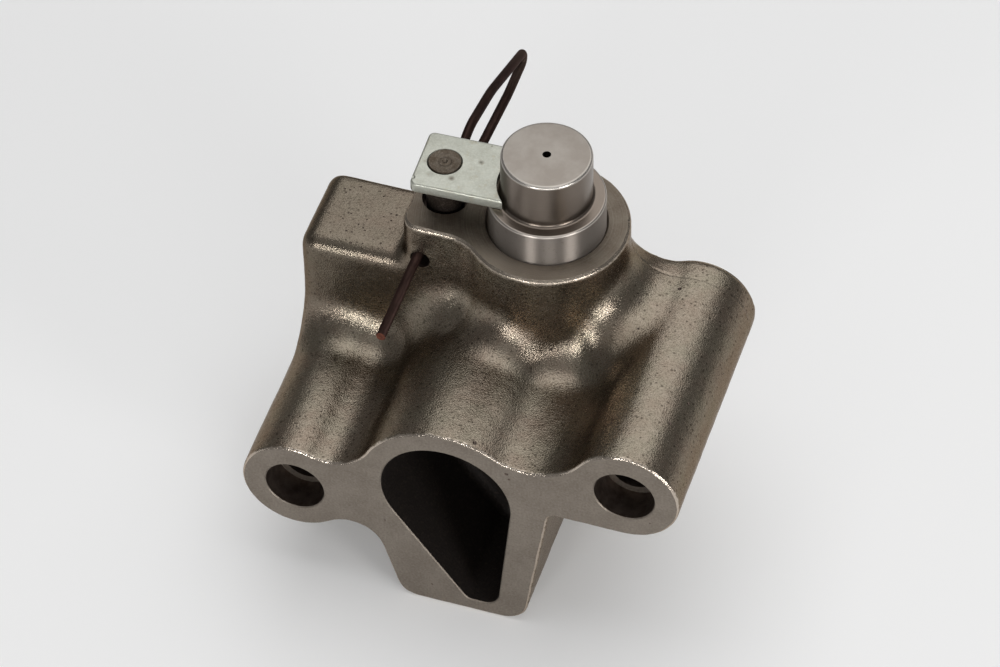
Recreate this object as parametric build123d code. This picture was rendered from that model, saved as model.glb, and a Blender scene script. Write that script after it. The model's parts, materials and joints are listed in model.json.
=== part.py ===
"""Hydraulic timing chain tensioner with its shipping lock fitted.

A cast-iron housing bolts to the engine through two long bosses. A hollow steel plunger slides in a
vertical bore and is pushed out by a coil spring and by oil that a ball check valve lets in from the
reservoir, which opens on the machined mounting face. For shipping the plunger is held down by a
zinc-plated plate on a riveted pin, and a bent wire through a cross hole keeps the pin in.

Frame: the origin is the mouth of the left dowel bore on the mounting face, +X runs towards the right
bolt boss, +Y away from the mounting face, +Z along the plunger's way out. Lengths in millimetres.
"""
import os
from math import cos, radians, sin, sqrt, tan

from build123d import *

# Bolt bosses and their holes
hole_gap_x = 48.9
hole_gap_z = 15.0
housing_depth = 39.5
boss_radius = 8.0
bolt_hole_radius = 3.3
dowel_radius = 4.4
dowel_depth = 5.0
seat_face_height = 0.5
seat_face_radius = 7.2

# Casting
back_edge_radius = 1.2
hump_x = 22.9
hump_z = 4.9
hump_radius = 13.5
left_valley_radius = 6.5
right_valley_radius = 9.0
notch_radius = 4.8
lobe_bottom_z = -18.1
lobe_left_x = 15.85
lobe_right_x = 34.3
lobe_left_lean = 16.8
lobe_right_lean = 8.4
lobe_left_corner = 3.2
lobe_right_corner = 4.0
lobe_shelf_z = -6.0
wall_front_y = 24.7
block_side_inset = 0.7
block_top_z = 24.6
block_corner_radius = 2.0
block_nook_radius = 1.4
block_edge_radius = 2.6
blend_radius = 6.0

# Plunger bore and pin boss
plunger_x = 27.7
plunger_y = 31.8
top_face_z = 31.9
tower_radius = 12.0
bore_clearance = 0.04
bore_mouth_chamfer = 0.3
bore_floor_z = -9.5
pin_gap = 15.0
pin_boss_margin = 4.7
tower_shoulder_radius = 6.3
pin_bore_clearance = 0.05
pin_mouth_radius = 3.35
pin_mouth_depth = 2.0
pin_bore_floor_z = 16.5
cross_hole_radius = 1.5
cross_hole_aside = 1.6
cross_hole_drop = 6.2

# Oil reservoir, open on the mounting face
reservoir_x = 22.7
reservoir_z = 5.4
reservoir_radius = 9.6
reservoir_depth = 17.5
sump_x = 28.1
sump_z = -13.4
sump_radius = 2.4
sump_toe_x = 26.6
sump_toe_z = -14.2
sump_toe_radius = 1.6
reservoir_floor_fillet = 1.5
feed_radius = 1.6
feed_z = -13.0

# Plunger
plunger_radius = 8.43
plunger_head_radius = 6.5
plunger_head_top_z = 45.2
plunger_shoulder_z = 37.3
plunger_bottom_z = 1.5
plunger_wall = 2.1
plunger_crown = 2.2
head_wall = 2.4
head_edge_radius = 0.5
head_foot_radius = 0.5
shoulder_chamfer = 0.3
plunger_lead_chamfer = 0.5
vent_hole_radius = 0.62
vent_disc_thickness = 1.6
vent_groove_width = 0.7
vent_groove_depth = 0.35

# Plunger spring
spring_wire_radius = 0.7
spring_side_clearance = 0.73
spring_coils = 9.0
spring_end_gap = 0.02

# Check valve
seat_thickness = 3.0
seat_fit_clearance = 0.03
seat_hole_radius = 1.7
ball_radius = 2.2
ball_seat_radius = 1.85
ball_seat_clearance = 0.03
ball_lift = 0.9
ball_spring_room = 1.75
cage_wall = 0.5
cage_flange_clearance = 0.33
cage_inner_clearance = 0.25
cage_window_width = 2.0
cage_window_sill = 0.9
cage_windows = 4
cage_top_hole_radius = 1.0
ball_spring_wire_radius = 0.16
ball_spring_mean_radius = 1.25
ball_spring_coils = 4.0

# Shipping lock
plate_thickness = 1.8
plate_width = 10.6
plate_beyond_pin = 3.7
plate_tip_inset = 4.9
plate_head_clearance = 0.55
plate_corner_radius = 0.9
plate_edge_radius = 0.35
plate_turn = 1.8
pin_radius = 2.7
pin_tenon_radius = 2.4
pin_tenon_clearance = 0.02
pin_rivet_stand = 0.15
pin_end_gap = 1.0
pin_end_chamfer = 0.4
rivet_edge_chamfer = 0.1
wire_radius = 0.7
wire_notch_clearance = 0.18
wire_front_reach = 16.1
wire_bends = ((42.0, 26.32, 5.0), (47.4, 29.5, 8.0), (58.5, 26.95, 24.0), (73.6, 20.6, 1.1),
              (73.6, 18.85, 0.9), (66.5, 18.7, 20.0))
wire_back_end = (46.0, 21.1)

# Values that follow from the sizes above
plunger_bore_radius = plunger_radius + bore_clearance
plunger_inner_radius = plunger_radius - plunger_wall
head_bore_radius = plunger_head_radius - head_wall
spring_mean_radius = plunger_inner_radius - spring_side_clearance - spring_wire_radius
cage_flange_radius = plunger_inner_radius - cage_flange_clearance
pin_x = plunger_x - pin_gap
pin_y = plunger_y
pin_boss_left_x = pin_x - pin_boss_margin
plate_bottom_z = plunger_shoulder_z
plate_top_z = plate_bottom_z + plate_thickness
cross_hole_x = pin_x - cross_hole_aside
cross_hole_z = top_face_z - cross_hole_drop
cast_back_y = housing_depth - seat_face_height
block_left_x = block_side_inset - boss_radius
seat_top_z = bore_floor_z + seat_thickness
ball_z = seat_top_z + sqrt((ball_radius + ball_seat_clearance) ** 2 - ball_seat_radius ** 2)
cage_flange_top_z = seat_top_z + cage_wall
cage_inner_radius = ball_radius + cage_inner_clearance
cage_ceiling_z = (ball_z + sqrt(ball_radius ** 2 - ball_spring_mean_radius ** 2)
                  + ball_lift + ball_spring_room)
spring_ceiling_z = plunger_shoulder_z - plunger_crown
head_ceiling_z = plunger_head_top_z - plunger_crown
wire_x = cross_hole_x - 0.35
wire_z = cross_hole_z + 0.62
wire_tip_y = wall_front_y - wire_front_reach


def at_xz(x, z, y=0.0):
    """Plane facing the mounting side, with its local axes along +X and +Z, at depth y."""
    return Plane(origin=(x, y, z), x_dir=(1, 0, 0), z_dir=(0, -1, 0))


def front_disc(x, z, radius):
    return Pos(x, z) * Circle(radius)


def valley(ax, az, a_radius, bx, bz, b_radius, radius, side):
    """Web between two discs whose open edge is an arc tangent to both."""
    gap = sqrt((bx - ax) ** 2 + (bz - az) ** 2)
    from_a = a_radius + radius
    from_b = b_radius + radius
    along = (from_a ** 2 - from_b ** 2 + gap ** 2) / (2 * gap)
    aside = side * sqrt(from_a ** 2 - along ** 2)
    ux, uz = (bx - ax) / gap, (bz - az) / gap
    cx = ax + along * ux - aside * uz
    cz = az + along * uz + aside * ux
    web = make_face(Polyline((ax, az), (bx, bz), (cx, cz), close=True))
    return web - front_disc(cx, cz, radius)


def lobe_face():
    """Tapered lobe under the hump, from the underside of the right web down to its flat foot."""
    underside_z = hole_gap_z - boss_radius
    right_top_x = lobe_right_x + (underside_z - lobe_bottom_z) * tan(radians(lobe_right_lean))
    left_top_x = lobe_left_x - (hump_z - lobe_bottom_z) * tan(radians(lobe_left_lean))
    outline = Polyline((lobe_left_x, lobe_bottom_z), (lobe_right_x, lobe_bottom_z),
                       (right_top_x, underside_z), (hump_x, underside_z), (left_top_x, hump_z), close=True)
    face = make_face(outline)
    foot = face.vertices().group_by(Axis.Y)[0].sort_by(Axis.X)
    face = fillet(foot[0], lobe_left_corner)
    foot = face.vertices().group_by(Axis.Y)[0].sort_by(Axis.X)
    return fillet(foot[-1], lobe_right_corner)


def left_notch():
    """Arched notch between the left boss and the lobe's flank, tangent to both."""
    lean = radians(lobe_left_lean)
    out_x, out_z = -cos(lean), -sin(lean)
    up_x, up_z = -sin(lean), cos(lean)
    along = lobe_left_x * out_x + lobe_bottom_z * out_z + notch_radius
    across = sqrt((boss_radius + notch_radius) ** 2 - along ** 2)
    cx = along * out_x - across * up_x
    cz = along * out_z - across * up_z
    on_flank = (cx - out_x * notch_radius, cz - out_z * notch_radius)
    web = make_face(Polyline((0, 0), (cx, cz), on_flank, (hump_x, hump_z), close=True))
    return web - front_disc(cx, cz, notch_radius)


def casting_outline():
    """The casting seen from the mounting side: two bosses, the hump and the lobe, blended."""
    underside_z = hole_gap_z - boss_radius
    right_web = make_face(Polyline((hump_x, hump_z), (hump_x, underside_z), (hole_gap_x, underside_z),
                                   (hole_gap_x, hole_gap_z), close=True))
    return (front_disc(0, 0, boss_radius) + front_disc(hole_gap_x, hole_gap_z, boss_radius)
            + front_disc(hump_x, hump_z, hump_radius)
            + valley(hump_x, hump_z, hump_radius, hole_gap_x, hole_gap_z, boss_radius,
                     right_valley_radius, 1)
            + valley(hump_x, hump_z, hump_radius, 0, 0, boss_radius, left_valley_radius, -1)
            + lobe_face() + left_notch() + right_web)


def tower_plan():
    """Tower and pin boss seen from above, up to the cast back face, with the shoulder blended."""
    wall = Pos((pin_boss_left_x + plunger_x) / 2, (wall_front_y + cast_back_y) / 2) * Rectangle(
        plunger_x - pin_boss_left_x, cast_back_y - wall_front_y)
    plan = wall + Pos(plunger_x, plunger_y) * Circle(tower_radius)
    shoulder_x = plunger_x - sqrt(tower_radius ** 2 - (wall_front_y - plunger_y) ** 2)
    shoulder = plan.vertices().sort_by_distance((shoulder_x, wall_front_y, 0))[0]
    plan = fillet(shoulder, tower_shoulder_radius)
    in_front = Pos(plunger_x, cast_back_y) * Rectangle(
        hole_gap_x, housing_depth, align=(Align.CENTER, Align.MAX))
    return plan & in_front


def edge_at(body, x, y, z):
    """The edge whose middle lies nearest to a point."""
    spot = Vector(x, y, z)
    return min(body.edges(), key=lambda edge: (edge.position_at(0.5) - spot).length)


def lower_body():
    """Bosses, hump and lobe, drawn straight back from the mounting face."""
    body = extrude(at_xz(0, 0) * casting_outline(), amount=-cast_back_y)
    behind = Pos(hump_x, plunger_y, lobe_shelf_z) * Box(
        hump_radius * 2, housing_depth, hump_radius * 2, align=(Align.CENTER, Align.MIN, Align.MAX))
    return body - behind


def casting():
    """The raw casting, with its blends and rounded edges, before any machining."""
    block = Pos(block_left_x, wall_front_y, 0) * Box(
        pin_x - block_left_x, cast_back_y - wall_front_y, block_top_z,
        align=(Align.MIN, Align.MIN, Align.MIN))
    wall = extrude(Pos(0, 0, hump_z) * tower_plan(), amount=top_face_z - hump_z)
    body = lower_body() + wall + block
    front_arc = edge_at(body, plunger_x, plunger_y - tower_radius, hump_z + hump_radius)
    body = fillet(front_arc, blend_radius)

    wall_middle_y = (wall_front_y + cast_back_y) / 2
    nook = edge_at(body, pin_boss_left_x, wall_middle_y, block_top_z)
    body = fillet(nook, block_nook_radius)
    corner = edge_at(body, block_left_x, wall_front_y, (block_top_z + boss_radius) / 2)
    body = fillet(corner, block_corner_radius)
    block_middle_x = (block_left_x + pin_boss_left_x) / 2
    top_edges = [edge_at(body, block_middle_x, wall_front_y, block_top_z),
                 edge_at(body, block_left_x, wall_middle_y, block_top_z)]
    body = fillet(top_edges, block_edge_radius)
    back_edge = edge_at(body, block_left_x, cast_back_y, block_top_z / 2)
    body = fillet(back_edge, back_edge_radius)

    barrel = Pos(plunger_x, plunger_y, lobe_bottom_z) * Cylinder(
        tower_radius, top_face_z - lobe_bottom_z, align=(Align.CENTER, Align.CENTER, Align.MIN))
    return body + barrel


def upright(radius, bottom_z, top_z, x=plunger_x, y=plunger_y):
    """Vertical cylinder between two heights, on the plunger's axis unless told otherwise."""
    return Pos(x, y, bottom_z) * Cylinder(
        radius, top_z - bottom_z, align=(Align.CENTER, Align.CENTER, Align.MIN))


def level(radius, front_y, back_y, x, z):
    """Horizontal cylinder along +Y between two depths."""
    return extrude(at_xz(x, z, front_y) * Circle(radius), amount=front_y - back_y)


def reservoir():
    """Pear-shaped oil pocket with a rounded floor, open on the mounting face."""
    mouth = make_hull((front_disc(reservoir_x, reservoir_z, reservoir_radius)
                       + front_disc(sump_x, sump_z, sump_radius)
                       + front_disc(sump_toe_x, sump_toe_z, sump_toe_radius)).edges())
    pocket = extrude(at_xz(0, 0) * mouth, amount=-reservoir_depth)
    floor_edges = pocket.edges().group_by(Axis.Y)[-1]
    return fillet(floor_edges, reservoir_floor_fillet)


def housing():
    """Casting with its seats, bores and oil passages machined."""
    body = casting()
    for x, z in ((0.0, 0.0), (hole_gap_x, hole_gap_z)):
        body += level(seat_face_radius, cast_back_y, housing_depth, x, z)
    for x, z in ((0.0, 0.0), (hole_gap_x, hole_gap_z)):
        body -= level(bolt_hole_radius, -1.0, housing_depth + 1.0, x, z)
        body -= level(dowel_radius, -1.0, dowel_depth, x, z)
    body -= reservoir()
    body -= level(feed_radius, reservoir_depth - reservoir_floor_fillet, plunger_y, plunger_x, feed_z)
    body -= upright(feed_radius, feed_z, bore_floor_z)
    body -= upright(plunger_bore_radius, bore_floor_z, top_face_z)
    body -= Pos(plunger_x, plunger_y, top_face_z) * Cone(
        plunger_bore_radius, plunger_bore_radius + bore_mouth_chamfer, bore_mouth_chamfer,
        align=(Align.CENTER, Align.CENTER, Align.MAX))
    body -= upright(pin_radius + pin_bore_clearance, pin_bore_floor_z, top_face_z, pin_x, pin_y)
    body -= upright(pin_mouth_radius, top_face_z - pin_mouth_depth, top_face_z, pin_x, pin_y)
    body -= level(cross_hole_radius, wall_front_y - 1.0, housing_depth + 1.0, cross_hole_x, cross_hole_z)
    return body


def turned(points):
    """Solid of revolution about the plunger's axis from (radius, height) points."""
    outline = make_face(Polyline([(r, 0.0, z) for r, z in points], close=True))
    return Pos(plunger_x, plunger_y, 0) * revolve(outline, Axis.Z)


def rim(solid, radius, z):
    """The circular edge of a turned piece with the given radius and height."""
    circles = solid.edges().filter_by(GeomType.CIRCLE)
    return min(circles, key=lambda edge: abs(edge.radius - radius) + abs(edge.center().Z - z))


def plunger():
    """Hollow plunger with a stepped nose that ends in a small vent hole."""
    body = turned([
        (plunger_inner_radius, plunger_bottom_z), (plunger_radius, plunger_bottom_z),
        (plunger_radius, plunger_shoulder_z),
        (plunger_head_radius, plunger_shoulder_z), (plunger_head_radius, plunger_head_top_z),
        (vent_hole_radius, plunger_head_top_z), (vent_hole_radius, head_ceiling_z),
        (head_bore_radius, head_ceiling_z), (head_bore_radius, spring_ceiling_z),
        (plunger_inner_radius, spring_ceiling_z)])
    body = fillet(rim(body, plunger_head_radius, plunger_head_top_z), head_edge_radius)
    body = fillet(rim(body, plunger_head_radius, plunger_shoulder_z), head_foot_radius)
    body = chamfer(rim(body, plunger_radius, plunger_shoulder_z), shoulder_chamfer)
    return chamfer(rim(body, plunger_radius, plunger_bottom_z), plunger_lead_chamfer)


def vent_disc():
    """Disc pressed under the plunger's nose; a groove over its top and down its rim meters the oil."""
    bottom_z = head_ceiling_z - vent_disc_thickness
    body = upright(head_bore_radius, bottom_z, head_ceiling_z)
    groove = Pos(plunger_x, plunger_y, head_ceiling_z) * Box(
        2 * head_bore_radius, vent_groove_width, 2 * vent_groove_depth)
    body -= groove
    for side in (-1, 1):
        body -= Pos(plunger_x + side * head_bore_radius, plunger_y, bottom_z) * Box(
            2 * vent_groove_depth, vent_groove_width, 3 * vent_disc_thickness)
    return body


def coil(mean_radius, wire_radius, coils, bottom_z, top_z):
    """Compression spring on the plunger's axis with both ends ground flat."""
    height = top_z - bottom_z
    path = Helix(pitch=height / coils, height=height, radius=mean_radius)
    wound = sweep(Plane(origin=path @ 0, z_dir=path % 0) * Circle(wire_radius), path=path, is_frenet=True)
    room = Box(4 * mean_radius, 4 * mean_radius, height, align=(Align.CENTER, Align.CENTER, Align.MIN))
    return Pos(plunger_x, plunger_y, bottom_z) * (wound & room)


def plunger_spring():
    return coil(spring_mean_radius, spring_wire_radius, spring_coils,
                cage_flange_top_z + spring_end_gap, spring_ceiling_z - spring_end_gap)


def ball_spring():
    inner_radius = ball_spring_mean_radius - ball_spring_wire_radius
    ball_contact_z = ball_z + sqrt(ball_radius ** 2 - inner_radius ** 2)
    return coil(ball_spring_mean_radius, ball_spring_wire_radius, ball_spring_coils,
                ball_contact_z, cage_ceiling_z - spring_end_gap)


def valve_seat():
    """Disc at the bottom of the bore with the oil hole that the check ball closes."""
    body = upright(plunger_bore_radius - seat_fit_clearance, bore_floor_z, seat_top_z)
    body -= upright(seat_hole_radius, bore_floor_z, seat_top_z)
    return body - Pos(plunger_x, plunger_y, ball_z) * Sphere(ball_radius + ball_seat_clearance)


def check_ball():
    return Pos(plunger_x, plunger_y, ball_z) * Sphere(ball_radius)


def ball_cage():
    """Pressed cap that guides the ball; its flange is held on the seat by the plunger spring."""
    outer = cage_inner_radius + cage_wall
    top_z = cage_ceiling_z + cage_wall
    body = turned([
        (cage_inner_radius, seat_top_z), (cage_flange_radius, seat_top_z),
        (cage_flange_radius, cage_flange_top_z), (outer, cage_flange_top_z), (outer, top_z),
        (cage_top_hole_radius, top_z), (cage_top_hole_radius, cage_ceiling_z),
        (cage_inner_radius, cage_ceiling_z)])
    sill_z = cage_flange_top_z + cage_window_sill
    head_z = cage_ceiling_z - cage_window_sill
    for i in range(cage_windows // 2):
        slot = Rot(0, 0, 180 * i / (cage_windows // 2)) * Box(
            4 * cage_inner_radius, cage_window_width, head_z - sill_z,
            align=(Align.CENTER, Align.CENTER, Align.MIN))
        body -= Pos(plunger_x, plunger_y, sill_z) * slot
    return body


def retainer_plate():
    """Stamped plate on the pin whose hollow end sits on the plunger's shoulder and holds it down."""
    left_x = -plate_beyond_pin
    right_x = pin_gap - plate_tip_inset
    blank = Pos((left_x + right_x) / 2, 0) * Rectangle(right_x - left_x, plate_width)
    blank = fillet(blank.vertices().group_by(Axis.X)[0], plate_corner_radius)
    blank = Pos(pin_x, pin_y) * Rot(0, 0, plate_turn) * blank
    blank -= Pos(plunger_x, plunger_y) * Circle(plunger_head_radius + plate_head_clearance)
    blank -= Pos(pin_x, pin_y) * Circle(pin_tenon_radius + pin_tenon_clearance)
    body = extrude(Pos(0, 0, plate_bottom_z) * blank, amount=plate_thickness)
    outer = [edge for edge in body.edges().group_by(Axis.Z)[-1]
             if edge.geom_type == GeomType.LINE or abs(edge.radius - plate_corner_radius) < 0.01]
    return fillet(outer, plate_edge_radius)


def retainer_pin():
    """Pin riveted into the plate, with a half-round notch in its flank for the wire."""
    bottom_z = pin_bore_floor_z + pin_end_gap
    head_z = plate_top_z + pin_rivet_stand
    body = upright(pin_radius, bottom_z, plate_bottom_z, pin_x, pin_y)
    body += upright(pin_tenon_radius, plate_bottom_z, head_z, pin_x, pin_y)
    body = chamfer(rim(body, pin_radius, bottom_z), pin_end_chamfer)
    body = chamfer(rim(body, pin_tenon_radius, head_z), rivet_edge_chamfer)
    return body - level(wire_radius + wire_notch_clearance, wall_front_y, cast_back_y, wire_x, wire_z)


def lock_wire():
    """Bent wire through the cross hole, with a long pull loop behind the casting."""
    spots = [Vector(wire_x, wire_tip_y, wire_z)]
    spots += [Vector(wire_x, y, z) for y, z, radius in wire_bends]
    spots.append(Vector(wire_x, *wire_back_end))
    runs = []
    start = spots[0]
    for before, bend, after, (y, z, radius) in zip(spots, spots[1:], spots[2:], wire_bends):
        back, ahead = (before - bend).normalized(), (after - bend).normalized()
        half = radians(back.get_angle(ahead)) / 2
        reach = radius / tan(half)
        middle = bend + (back + ahead).normalized() * (radius / sin(half) - radius)
        runs.append(Line(start, bend + back * reach))
        runs.append(ThreePointArc(bend + back * reach, middle, bend + ahead * reach))
        start = bend + ahead * reach
    runs.append(Line(start, spots[-1]))
    path = Wire(runs)
    return sweep(Plane(origin=path @ 0, z_dir=path % 0) * Circle(wire_radius), path=path)


pieces = {
    "housing": housing,
    "plunger": plunger,
    "plunger_spring": plunger_spring,
    "vent_disc": vent_disc,
    "valve_seat": valve_seat,
    "check_ball": check_ball,
    "ball_spring": ball_spring,
    "ball_cage": ball_cage,
    "retainer_plate": retainer_plate,
    "retainer_pin": retainer_pin,
    "lock_wire": lock_wire,
}

if __name__ == "__main__":
    os.makedirs("parts", exist_ok=True)
    for name, make in pieces.items():
        export_step(make(), f"parts/{name}.step")
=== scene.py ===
import json
from math import cos, pi, radians, sin, sqrt, tan
from random import Random

import bmesh
import bpy
from mathutils import Matrix, Vector, noise
from mathutils.bvhtree import BVHTree


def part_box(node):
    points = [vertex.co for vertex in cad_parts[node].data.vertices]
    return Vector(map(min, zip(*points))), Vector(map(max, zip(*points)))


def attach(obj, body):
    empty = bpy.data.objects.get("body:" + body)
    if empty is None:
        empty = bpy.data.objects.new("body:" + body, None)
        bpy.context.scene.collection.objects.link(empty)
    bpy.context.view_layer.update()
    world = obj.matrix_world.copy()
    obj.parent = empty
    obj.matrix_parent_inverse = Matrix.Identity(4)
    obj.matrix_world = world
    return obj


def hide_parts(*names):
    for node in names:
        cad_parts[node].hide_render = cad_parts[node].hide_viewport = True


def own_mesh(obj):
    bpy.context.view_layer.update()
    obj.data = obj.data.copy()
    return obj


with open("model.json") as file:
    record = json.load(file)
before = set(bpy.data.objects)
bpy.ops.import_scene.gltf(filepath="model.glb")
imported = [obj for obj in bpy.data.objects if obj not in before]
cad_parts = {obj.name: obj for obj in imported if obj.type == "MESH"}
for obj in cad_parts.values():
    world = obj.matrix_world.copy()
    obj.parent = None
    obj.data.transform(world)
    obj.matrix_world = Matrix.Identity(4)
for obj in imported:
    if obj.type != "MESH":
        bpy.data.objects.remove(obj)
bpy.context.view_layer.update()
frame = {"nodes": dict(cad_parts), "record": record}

mm = 0.001

# Rough casting
# The housing is grey iron poured in sand. It comes out of the mould with solid metal where the
# holes will be drilled and with some metal to spare on every face that is machined later.

housing_low, housing_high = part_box("housing")
plunger_low, plunger_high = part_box("plunger")
pin_low, pin_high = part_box("retainer_pin")
mounts = {mount["name"]: mount for mount in frame["record"]["mounts"]}
left_hole = Vector(mounts["left_dowel_bore"]["pos_m"])
right_hole = Vector(mounts["right_dowel_bore"]["pos_m"])
dowel_radius = mounts["left_dowel_bore"]["dims"]["r_mm"] * mm
seat_y = mounts["left_bolt_hole"]["pos_m"][1]
plunger_axis = (plunger_low + plunger_high) / 2
pin_axis = (pin_low + pin_high) / 2
top_face_z = housing_high.z
bore_play = 0.04 * mm
bore_radius = (plunger_high.x - plunger_low.x) / 2 + bore_play
bore_floor_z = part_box("valve_seat")[0].z
pin_mouth_radius = 3.35 * mm
pin_floor_z = 16.0 * mm
feed_z = -13.0 * mm
feed_plug_radius = 2.0 * mm
reservoir_depth = 17.5 * mm
reservoir_top = Vector((22.7 * mm, 0, 5.4 * mm))
reservoir_radius = 9.6 * mm
sump = Vector((28.1 * mm, 0, -13.4 * mm))
sump_radius = 2.4 * mm
sump_toe = Vector((26.6 * mm, 0, -14.2 * mm))
sump_toe_radius = 1.6 * mm
core_steps = 12
cross_hole = Vector((11.1 * mm, 0, 25.7 * mm))
cross_hole_radius = 1.5 * mm
cross_hole_front_y = 24.6 * mm
cross_hole_back_y = 38.9 * mm
casting_allowance = 1.5 * mm
plug_overlap = 0.5 * mm
plug_sides = 40
feed_start_y = reservoir_depth - 4 * plug_overlap
above = top_face_z + casting_allowance
proud = Vector((0, -casting_allowance, 0))
skin_voxel = 0.42 * mm
on_plane = 0.001 * mm


def plug(metal, radius, start, end):
    """Fills a hole of the housing with a round bar, so that the raw casting is solid there."""
    turn = Vector((0, 0, 1)).rotation_difference(end - start).to_matrix().to_4x4()
    bmesh.ops.create_cone(metal, cap_ends=True, segments=plug_sides, radius1=radius, radius2=radius,
                          depth=(end - start).length, matrix=Matrix.Translation((start + end) / 2) @ turn)


def upright(axis, z):
    """The point of an upright axis at a height."""
    return Vector((axis.x, axis.y, z))


def mesh_of(name, work):
    """The mesh of a piece of work that is done."""
    mesh = bpy.data.meshes.new(name)
    work.to_mesh(mesh)
    work.free()
    return mesh


def put(name, data):
    """A new object in the scene."""
    made = bpy.data.objects.new(name, data)
    bpy.context.scene.collection.objects.link(made)
    return made


def with_modifiers(thing):
    """The mesh of an object as its modifiers leave it."""
    return bpy.data.meshes.new_from_object(thing.evaluated_get(bpy.context.evaluated_depsgraph_get()))


metal = bmesh.new()
metal.from_mesh(frame["nodes"]["housing"].data)
bmesh.ops.remove_doubles(metal, verts=metal.verts, dist=on_plane)
for vertex in metal.verts:
    if abs(vertex.co.y) < on_plane:
        vertex.co.y -= casting_allowance
    elif abs(vertex.co.z - top_face_z) < on_plane:
        vertex.co.z += casting_allowance
    elif abs(vertex.co.y - seat_y) < on_plane:
        vertex.co.y += casting_allowance
for hole in (left_hole, right_hole):
    plug(metal, dowel_radius + plug_overlap, hole + proud,
         Vector((hole.x, seat_y + casting_allowance, hole.z)))
for radius, start, end in (
        (bore_radius + 2 * plug_overlap, upright(plunger_axis, bore_floor_z), upright(plunger_axis, above)),
        (pin_mouth_radius + plug_overlap, upright(pin_axis, pin_floor_z), upright(pin_axis, above)),
        (feed_plug_radius, Vector((plunger_axis.x, feed_start_y, feed_z)), upright(plunger_axis, feed_z)),
        (feed_plug_radius, upright(plunger_axis, feed_z - plug_overlap),
         upright(plunger_axis, bore_floor_z + plug_overlap)),
        (cross_hole_radius + plug_overlap, Vector((cross_hole.x, cross_hole_front_y, cross_hole.z)),
         Vector((cross_hole.x, cross_hole_back_y, cross_hole.z)))):
    plug(metal, radius, start, end)
for low, low_radius in ((sump, sump_radius), (sump_toe, sump_toe_radius)):
    for step in range(core_steps + 1):
        share = step / core_steps
        middle = reservoir_top.lerp(low, share)
        radius = reservoir_radius + (low_radius - reservoir_radius) * share + plug_overlap
        plug(metal, radius, middle + proud, middle + Vector((0, reservoir_depth + plug_overlap, 0)))
rough_object = put("rough_casting", mesh_of("rough_casting", metal))
skin = rough_object.modifiers.new("skin", "REMESH")
skin.mode = "VOXEL"
skin.voxel_size = skin_voxel
rough = with_modifiers(rough_object)
rough_object.modifiers.clear()
rough_object.data = rough

# Skin of the casting
# Sand and shot leave low waves and ripples. The mould's halves leave a fine seam all round, and the
# edges that a cutter made are broken to a small, uneven radius.

skin_smoothings = 4
skin_smoothing = 0.5
skin_sink = 0.06 * mm
skin_wave = 0.05 * mm
skin_wave_length = 5.0 * mm
skin_ripple = 0.025 * mm
skin_ripple_length = 1.2 * mm
skin_least_sink = 0.01 * mm
seam_y = 35.4 * mm
seam_half_width = 0.30 * mm
seam_depth = 0.08 * mm
seam_start_x = 39.0 * mm
seam_elsewhere = 0.15
front_edge_radius = 0.45 * mm
top_edge_radius = 0.62 * mm
edge_steps = 5
edge_unevenness = 0.25
edge_uneven_length = 1.7 * mm
ring_snap = 0.01 * mm

metal = bmesh.new()
metal.from_mesh(rough)
for _ in range(skin_smoothings):
    bmesh.ops.smooth_vert(metal, verts=metal.verts, factor=skin_smoothing,
                          use_axis_x=True, use_axis_y=True, use_axis_z=True)
rings = [((0, seam_y + side * seam_half_width, 0), (0, 1, 0)) for side in (-1, 0, 1)]
for step in range(1, edge_steps + 1):
    depth = 1 - cos(pi / 2 * step / edge_steps)
    rings.append(((0, depth * front_edge_radius, 0), (0, 1, 0)))
    rings.append(((0, 0, top_face_z - depth * top_edge_radius), (0, 0, 1)))
for point, normal in rings:
    bmesh.ops.bisect_plane(metal, geom=metal.verts[:] + metal.edges[:] + metal.faces[:],
                           plane_co=point, plane_no=normal, dist=ring_snap)
metal.normal_update()
moves = []
for vertex in metal.verts:
    place = vertex.co
    sink = skin_sink + skin_wave * noise.noise(place / skin_wave_length)
    sink += skin_ripple * noise.noise(place / skin_ripple_length)
    sink = max(sink, skin_least_sink)
    share = 1.0 if place.x > seam_start_x else seam_elsewhere
    sink += share * seam_depth * max(0.0, 1 - (abs(place.y - seam_y) / seam_half_width) ** 2)
    uneven = 1 + edge_unevenness * noise.noise(place / edge_uneven_length)
    for gap, radius in ((place.y, front_edge_radius), (top_face_z - place.z, top_edge_radius)):
        if gap < radius:
            gap = max(gap, 0.0)
            sink += uneven * (radius - sqrt(radius ** 2 - (radius - gap) ** 2))
    moves.append((vertex, vertex.normal * sink))
for vertex, move in moves:
    vertex.co -= move
metal.to_mesh(rough)
metal.free()

# Blow holes
# Gas and loose sand leave small dark pits in the skin, and a few more open up in the milled face.
# Each pit is a shallow dent with a sharp rim. The rows hold x, y, z and radius in mm.

pit_random = Random(11)
skin_pits = 130
skin_pit_radius = (0.08 * mm, 0.18 * mm)
block_pits = 44
block_pit_radius = (0.11 * mm, 0.20 * mm)
block_right_x = 5 * mm
block_pits_above_z = 23.5 * mm
pit_margin = 1 * mm
pit_stand = 0.45
pit_stretch = (0.75, 1.25)
pit_fineness = 2
placed_pits = (
    (31.85, 0.0, 13.9, 0.30), (32.2, 0.0, 12.9, 0.26), (2.74, 0.0, 8.1, 0.18), (20.41, 0.0, -14.5, 0.24),
    (13.57, 0.0, -2.6, 0.16), (39.6, 0.0, 16.5, 0.20), (52.8, 0.0, 10.7, 0.20), (47.0, 33.0, 23.0, 0.34),
    (52.5, 9.0, 21.5, 0.34), (53.5, 14.0, 20.5, 0.26), (31.0, 22.5, 17.5, 0.30), (27.0, 1.0, 18.0, 0.34))

surface = BVHTree.FromPolygons([vertex.co for vertex in rough.vertices],
                               [face.vertices for face in rough.polygons])
pits = bmesh.new()


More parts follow.
